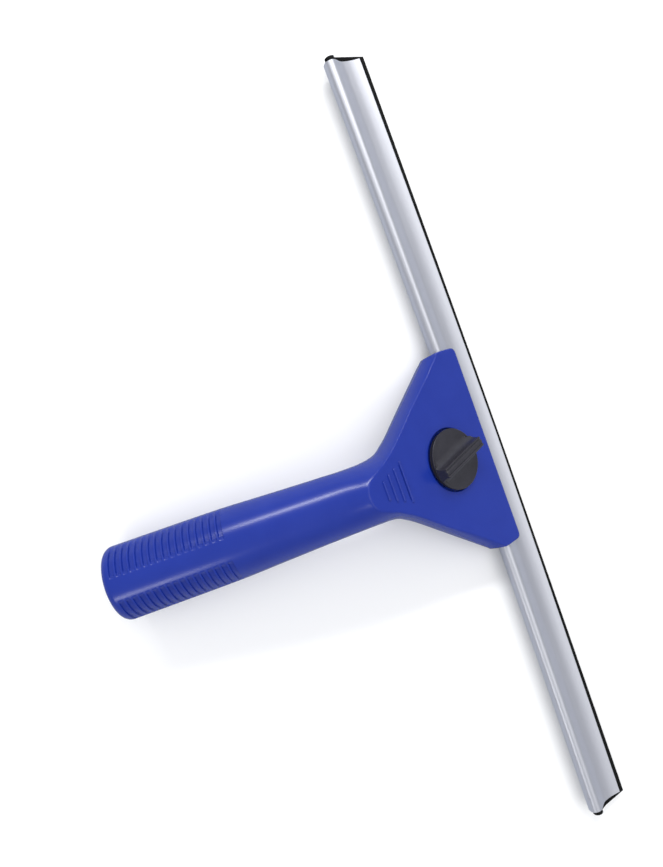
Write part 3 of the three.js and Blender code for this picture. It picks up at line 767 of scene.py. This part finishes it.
def make_channel(material):
    outline = channel_outline()
    # crimp dimple that holds the rubber: its place, size and the way in, in (y, z)
    dimple_x, dimple_depth, dimple_r = HALF_CHANNEL - 6.4, 0.55, 0.85
    spot, inward = (-15.5, 10.2), (0.6, -0.8)
    spans = 110
    stations = [-HALF_CHANNEL + 2 * HALF_CHANNEL * i / spans for i in range(spans + 1)]
    stations += [dimple_x + 0.25 * i for i in range(-7, 8)]
    rings = []
    for x in sorted(stations):
        shift = bend(x, BEND, BEND_MEAN)
        ring = []
        for y, z in outline:
            away = math.sqrt((x - dimple_x) ** 2 + (y - spot[0]) ** 2 + (z - spot[1]) ** 2)
            dent = dimple_depth * (1 - smooth(0, dimple_r, away))
            ring.append(Vector((x - HEAD_OFFSET, y + shift + inward[0] * dent, z + inward[1] * dent)))
        rings.append(ring)
    return piece("channel_extrusion", loft(rings), "blade", "blade_channel", material, 30)


def make_rubber(material):
    outline = keyhole(WEB_HALF, BEAD_R, WEB_END)
    # how far the rubber stands past the channel's end, by y
    overhang = table([(-15, 2.3), (-10.5, 2.45), (-7, 2.9), (0, 1.7), (WEB_END[0], 1.0)])
    spans = 100
    rings = []
    for i in range(spans + 1):
        t = 2 * i / spans - 1
        ring = []
        for y, z in outline:
            x = t * (HALF_CHANNEL + overhang(y))
            follow = smooth(-9, 0, y)   # the edge outside the channel bends by less
            shift = lerp(bend(x, BEND, BEND_MEAN), bend(x, RUBBER_BEND, RUBBER_MEAN), follow)
            ring.append(Vector((x - HEAD_OFFSET, y + shift, z)))
        rings.append(ring)
    return piece("rubber_strip", loft(rings), "blade", "rubber_blade", material, 30)


# ---------------------------------------------------------------- floor and light
def for_reflections(tree, shown, mirrored_value):
    """Picks one value for light and camera, and a darker one for what glossy surfaces mirror."""
    path = tree.nodes.new("ShaderNodeLightPath")
    mix = tree.nodes.new("ShaderNodeMix")
    mix.data_type = "RGBA"
    tree.links.new(path.outputs["Is Glossy Ray"], mix.inputs["Factor"])
    for socket, value in (("A", shown), ("B", mirrored_value)):
        target = [i for i in mix.inputs if i.name == socket and i.type == "RGBA"][0]
        if isinstance(value, tuple):
            target.default_value = (*value, 1)
        else:
            tree.links.new(value, target)
    return [o for o in mix.outputs if o.type == "RGBA"][0]


def make_stage():
    bm = bmesh.new()
    bmesh.ops.create_grid(bm, x_segments=2, y_segments=2, size=4.0)
    floor = link("floor", bm)
    floor.location.z = -0.0002          # just clear of what rests on it
    paint = Surface("floor", 0.85, Specular_IOR_Level=0.2)
    pale = paint.ramp(paint.noise(3, 2), [(0.3, 0.93), (0.7, 0.95)])
    # painted reflection: glossy surfaces mirror this floor as a darker grey than its own pale colour
    paint.to("Base Color", for_reflections(paint.tree, pale, (0.37, 0.39, 0.43)))
    floor.data.materials.append(paint.material)

    world = bpy.data.worlds.new("studio")
    bpy.context.scene.world = world
    world.use_nodes = True
    tree = world.node_tree
    background = tree.nodes["Background"]
    direction = tree.nodes.new("ShaderNodeTexCoord").outputs["Generated"]
    height = tree.nodes.new("ShaderNodeSeparateXYZ")
    tree.links.new(direction, height.inputs[0])
    sky = tree.nodes.new("ShaderNodeValToRGB")
    horizon, overhead = sky.color_ramp.elements
    horizon.position, overhead.position = 0.02, 0.35
    horizon.color = (0.42, 0.43, 0.47, 1)
    overhead.color = (0.31, 0.32, 0.35, 1)
    tree.links.new(height.outputs["Z"], sky.inputs["Fac"])
    colour = for_reflections(tree, (0.74, 0.75, 0.77), sky.outputs["Color"])
    tree.links.new(colour, background.inputs["Color"])


LIT_POINT = Vector((0, -70, 15))        # in the neck; the lights face it


def softbox(name, direction, distance, size, radiance, mirrored_too=True):
    """A rectangular soft light that faces the handle: size is across and along the handle, in metres."""
    data = bpy.data.lights.new(name, "AREA")
    data.shape = "RECTANGLE"
    data.size, data.size_y = size
    data.energy = math.pi * size[0] * size[1] * radiance
    obj = bpy.data.objects.new(name, data)
    bpy.context.scene.collection.objects.link(obj)
    way = Vector(direction).normalized()
    length = (Vector((0, 1, 0)) - way.y * way).normalized()
    obj.matrix_world = basis(length.cross(way), length, way, TO_PART @ LIT_POINT + distance * way)
    obj.visible_glossy = mirrored_too


def make_lights():
    softbox("right_strip", (0.50, -0.53, 0.72), 1.3, (0.15, 0.36), 8.5)
    softbox("left_strip", (-0.78, 0.12, 0.58), 1.3, (0.15, 1.1), 19.0)
    softbox("overhead_box", (0.06, 0.36, 0.93), 1.5, (2.2, 0.85), 0.92)
    softbox("fill", (0.0, 0.1, 1.0), 1.8, (1.6, 1.6), 0.5, mirrored_too=False)


make_camera()
make_stage()
make_lights()
make_handle(blue_plastic())
make_knob(charcoal_plastic())
make_channel(satin_aluminium())
make_rubber(black_rubber())
zinc = zinc_steel()
carried_over = {
    "thumbscrew_stud": zinc,
    "thumbscrew_washer": zinc,
    "jaw_nut": zinc,
    "stud_retaining_ring": spring_steel(),
    "clamp_jaw": blue_plastic("jaw_plastic", 0.38),
}
for name, material in carried_over.items():
    node = frame["nodes"][name]
    node.data.materials.clear()
    node.data.materials.append(material)

bpy.context.scene.view_settings.view_transform = "Standard"
